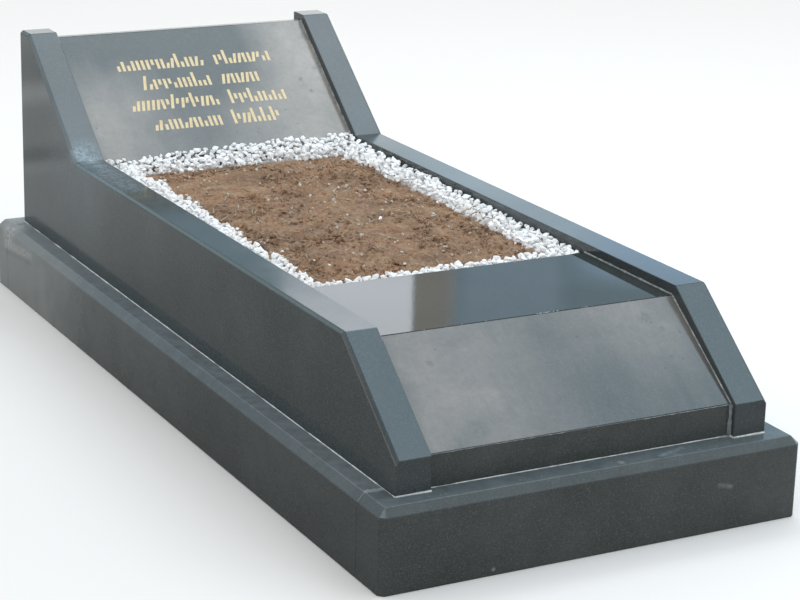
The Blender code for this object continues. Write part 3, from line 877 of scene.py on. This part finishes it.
def lay_chippings(draw, heap):
    """Three layers of chippings, each from its own depth inside the border."""
    across = int(2 * WALL_INNER / CHIP_PITCH)
    along = int((BED_HEAD + 0.042 - BED_FOOT) / CHIP_PITCH)
    places = []
    for least_depth in (0.02, 0.05, 0.22):
        cells = [(i, j) for i in range(across + 1) for j in range(along + 1)]
        draw.shuffle(cells)
        for i, j in cells:
            x = -WALL_INNER + (i + draw.random()) * CHIP_PITCH
            y = BED_FOOT + (j + draw.random()) * CHIP_PITCH
            depth = border_depth(x, y)
            size = draw.uniform(*CHIP_SIZES)
            if depth < least_depth:
                continue
            if abs(x) > WALL_INNER - size * 0.9:
                x = math.copysign(WALL_INNER - size * 0.92, x)
            y = max(y, BED_FOOT + size * 0.85)
            z = heap.rest(x, y, size * 0.8, 0.55) + size * (0.40 if y < BED_HEAD - 0.012 else 0.58)
            if z > chip_limit(x, y, depth) or y > tablet_y(z) - size * 0.6:
                continue
            heap.cover(x, y, size * 0.95, z + size * 0.55)
            places.append((x, y, z, size, CHIP_TILT))
    return places


def stray_chippings(draw, heap):
    """Smaller chippings on the earth, fewer away from the border."""
    places = []
    for _ in range(150):
        x = draw.uniform(-WALL_INNER + 0.05, WALL_INNER - 0.05)
        y = draw.uniform(BED_FOOT + 0.03, BED_HEAD - 0.03)
        if draw.random() > math.exp(-7 * max(0.0, -border_depth(x, y))) * 0.9 + 0.05:
            continue
        size = draw.uniform(0.004, 0.0085)
        places.append((x, y, heap.rest(x, y, size, 0.6) + size * 0.32, size, 0.4))
    return places


def pebbles():
    """The border of single chippings; gives back the heap that they lie in."""
    draw = random.Random(31)
    shapes = stone_shapes(draw, 30, 13, (0.45, 0.75), (0.55, 0.82))
    heap = Heap((-WALL_INNER, BED_FOOT), (WALL_INNER, BED_HEAD + HEAP_OVER), HEAP_CELL, bed_ground)
    places = lay_chippings(draw, heap) + stray_chippings(draw, heap)
    piece = scatter("chippings", places, shapes, marble("white_marble"), draw)
    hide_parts("pebble_border")
    return heap


def crumb_places(draw, heap):
    """Clods, crumbs and grains, crowded in some places; only the clods keep well away from the chippings."""
    places = []
    clods = (150, 0.0060, 0.0125, -0.25)
    crumbs = (1100, 0.0028, 0.0060, -0.03)
    grains = (3600, 0.0012, 0.0028, -0.03)
    for count, low, high, most_depth in (clods, crumbs, grains):
        made = 0
        while made < count:
            x = draw.uniform(-WALL_INNER + 0.045, WALL_INNER - 0.045)
            y = draw.uniform(BED_FOOT + 0.03, BED_HEAD)
            crowd = noise.noise(Vector((x * 9, y * 9, 7.7))) + 0.35
            if border_depth(x, y) > most_depth or draw.random() > crowd * 1.6:
                continue
            size = draw.uniform(low, high)
            z = heap.rest(x, y, size, 0.5) + size * 0.22
            if size > 0.005:
                heap.cover(x, y, size * 0.9, z + size * 0.5)
            places.append((x, y, z, size, 0.8))
            made += 1
    return places


def stone_places(draw, heap):
    """Small stones all over the earth, clear of the chippings."""
    places = []
    while len(places) < 240:
        x = draw.uniform(-WALL_INNER + 0.05, WALL_INNER - 0.05)
        y = draw.uniform(BED_FOOT + 0.04, BED_HEAD - 0.01)
        if border_depth(x, y) > -0.05:
            continue
        size = draw.uniform(0.0016, 0.0062)
        places.append((x, y, heap.rest(x, y, size, 0.5) + size * 0.4, size, 0.6))
    return places


def twigs(draw, heap, count=150, links=5, sides=5):
    """Thin bent twigs that lie on the earth and taper to one end."""
    bm = bmesh.new()
    for _ in range(count):
        x = draw.uniform(-WALL_INNER + 0.06, WALL_INNER - 0.06)
        y = draw.uniform(BED_FOOT + 0.05, BED_HEAD - 0.03)
        length, thick = draw.uniform(0.012, 0.045), draw.uniform(0.0007, 0.0016)
        heading, bend = draw.uniform(0, math.tau), draw.uniform(-0.6, 0.6)
        at = Vector((x, y, 0))
        rings = []
        for i in range(links + 1):
            if abs(at.x) > WALL_INNER - 0.03 or not BED_FOOT + 0.02 < at.y < BED_HEAD - 0.01:
                break
            ground = heap.rest(at.x, at.y, 0.004, 0.8) + thick * (0.8 + 1.5 * draw.random())
            along = Vector((math.cos(heading), math.sin(heading), 0))
            across = Vector((-along.y, along.x, 0))
            size = thick * (1 - 0.10 * i)
            turns = [(math.cos(k * math.tau / sides), math.sin(k * math.tau / sides)) for k in range(sides)]
            rings.append([(at.x + across.x * size * c, at.y + across.y * size * c, ground + size * s)
                          for c, s in turns])
            heading += bend / links + draw.uniform(-0.15, 0.15)
            at += along * length / links
        if len(rings) > 1:
            tube(bm, rings)
    add_piece("soil_twigs", bm, debris("twigs", (0.58, 0.47, 0.32), (0.27, 0.20, 0.13)))


def litter(heap):
    """Crumbs of earth, small stones and twigs on the bed."""
    draw = random.Random(47)
    shapes = stone_shapes(draw, 18, 13, (0.6, 0.95))
    crumbs = earth("earth_crumbs", (0.360, 0.225, 0.142), (0.165, 0.102, 0.068), (0.540, 0.395, 0.275))
    scatter("soil_crumbs", crumb_places(draw, heap), shapes, crumbs, draw)
    stones = debris("grey_stones", (0.74, 0.70, 0.63), (0.36, 0.32, 0.27))
    scatter("soil_stones", stone_places(draw, heap), shapes, stones, draw)
    twigs(draw, heap)


# Studio

SOFTBOX_Z = 3.2


def softbox(name, x, y, size, radiance, colour):
    """A light panel that faces straight down; size is its width along X and its length along Y."""
    data = bpy.data.lights.new(name, "AREA")
    data.shape = "RECTANGLE"
    data.size, data.size_y = size
    data.energy = radiance * math.pi * size[0] * size[1]
    data.color = colour
    light = bpy.data.objects.new(name, data)
    light.location = (x, y, SOFTBOX_Z)
    light.visible_camera = False
    bpy.context.scene.collection.objects.link(light)


def studio():
    """The floor, two light panels high up at the right, and the sky."""
    floor = bpy.data.meshes.new("floor")
    bm = bmesh.new()
    below = Matrix.Translation((0, 0, -0.0005))
    bmesh.ops.create_grid(bm, x_segments=2, y_segments=2, size=40, matrix=below)
    bm.to_mesh(floor)
    bm.free()
    floor.materials.append(floor_material())
    ground = bpy.data.objects.new("floor", floor)
    bpy.context.scene.collection.objects.link(ground)
    softbox("softbox_head", 1.15, 0.92, (2.0, 1.15), 3.25, (0.84, 1.0, 1.09))
    softbox("softbox_foot", 1.65, -1.12, (2.3, 1.2), 1.93, (0.68, 0.99, 1.18))
    bpy.context.scene.world = sky()
    bpy.context.scene.view_settings.view_transform = "Standard"


# What the stone mirrors of the sky: its colour by height above the level, in degrees
SKY_COLOURS = ((0.0, (0.85, 0.87, 0.86)), (11.25, (0.77, 0.80, 0.79)), (13.5, (0.27, 0.34, 0.39)),
               (15.3, (0.10, 0.17, 0.215)), (17.1, (0.125, 0.205, 0.255)), (18.45, (0.21, 0.30, 0.365)),
               (22.5, (0.15, 0.215, 0.26)), (36.0, (0.26, 0.33, 0.38)), (90.0, (0.40, 0.47, 0.52)))

# Panels in that sky, each over those before it: the lowest and highest heading from +Y towards +X and how
# soft those edges are, the lowest and highest height and how soft those are, all in degrees, the colour,
# and how many degrees it leans to the left for each degree up. First come the light panel and the dark one
# that the level slab mirrors, with the sky beside and below them, then what the walls' chamfers mirror, to
# the right and far left, and last the dim part that the left arrises mirror.
SKY_PANELS = (
    ((25.2, 28.65, 0.06), (16.2, 26.0, 0.7), (0.96, 1.02, 1.09), 0),
    ((28.65, 29.75, 0.06), (16.2, 26.0, 0.7), (0.26, 0.245, 0.22), 0),
    ((29.75, 32.6, 0.4), (15.9, 19.0, 0.4), (0.22, 0.31, 0.385), 0),
    ((32.6, 37.0, 0.4), (15.9, 19.0, 0.4), (0.17, 0.25, 0.30), 0),
    ((28.4, 60.0, 1.5), (8.0, 15.7, 0.4), (0.57, 0.72, 0.83), 0),
    ((33.2, 60.0, 0.8), (8.0, 16.6, 0.3), (0.40, 0.60, 0.83), 0),
    ((1.9, 6.0, 0.5), (16.0, 28.0, 1.0), (0.50, 0.68, 0.72), 0.95),
    ((-82.0, -60.0, 2.0), (30.0, 46.0, 2.0), (1.15, 1.42, 1.58), 0),
    ((-112.0, -66.0, 2.0), (46.0, 84.0, 2.0), (1.05, 1.30, 1.45), 0),
    ((-40.0, -6.0, 3.0), (-4.0, 13.0, 1.0), (0.24, 0.29, 0.31), 0),
)


def sky():
    """Even soft light, and for the polished stone to mirror, a cool sky, a light panel and a dark one."""
    g = Graph(bpy.data.worlds.new("studio"), "Background", "Generated")
    heading = g.math("MULTIPLY", g.math("ARCTAN2", g.axis("X"), g.axis("Y")), math.degrees(1))
    height = g.math("MULTIPLY", g.math("ARCSINE", g.axis("Z")), math.degrees(1))
    stops = [(degrees / 90, colour) for degrees, colour in SKY_COLOURS]
    seen = g.ramp(g.math("DIVIDE", height, 90.0), stops)
    for wide, tall, colour, lean in SKY_PANELS:
        across = g.math("ADD", heading, g.math("MULTIPLY", height, lean)) if lean else heading
        inside = g.math("MULTIPLY", g.between(across, *wide), g.between(height, *tall))
        seen = g.mix(inside, seen, colour)
    g.put(g.mix(g.mirrored(), (0.475, 0.485, 0.495), seen), g.shader.inputs["Color"])
    g.put(2.0, g.shader.inputs["Strength"])
    return g.owner


add_camera()
studio()
dress_stone()
fill_strokes()
joints()
plinth_smears()
edge_chips_and_ridge_glint()
soil_surface()
litter(pebbles())
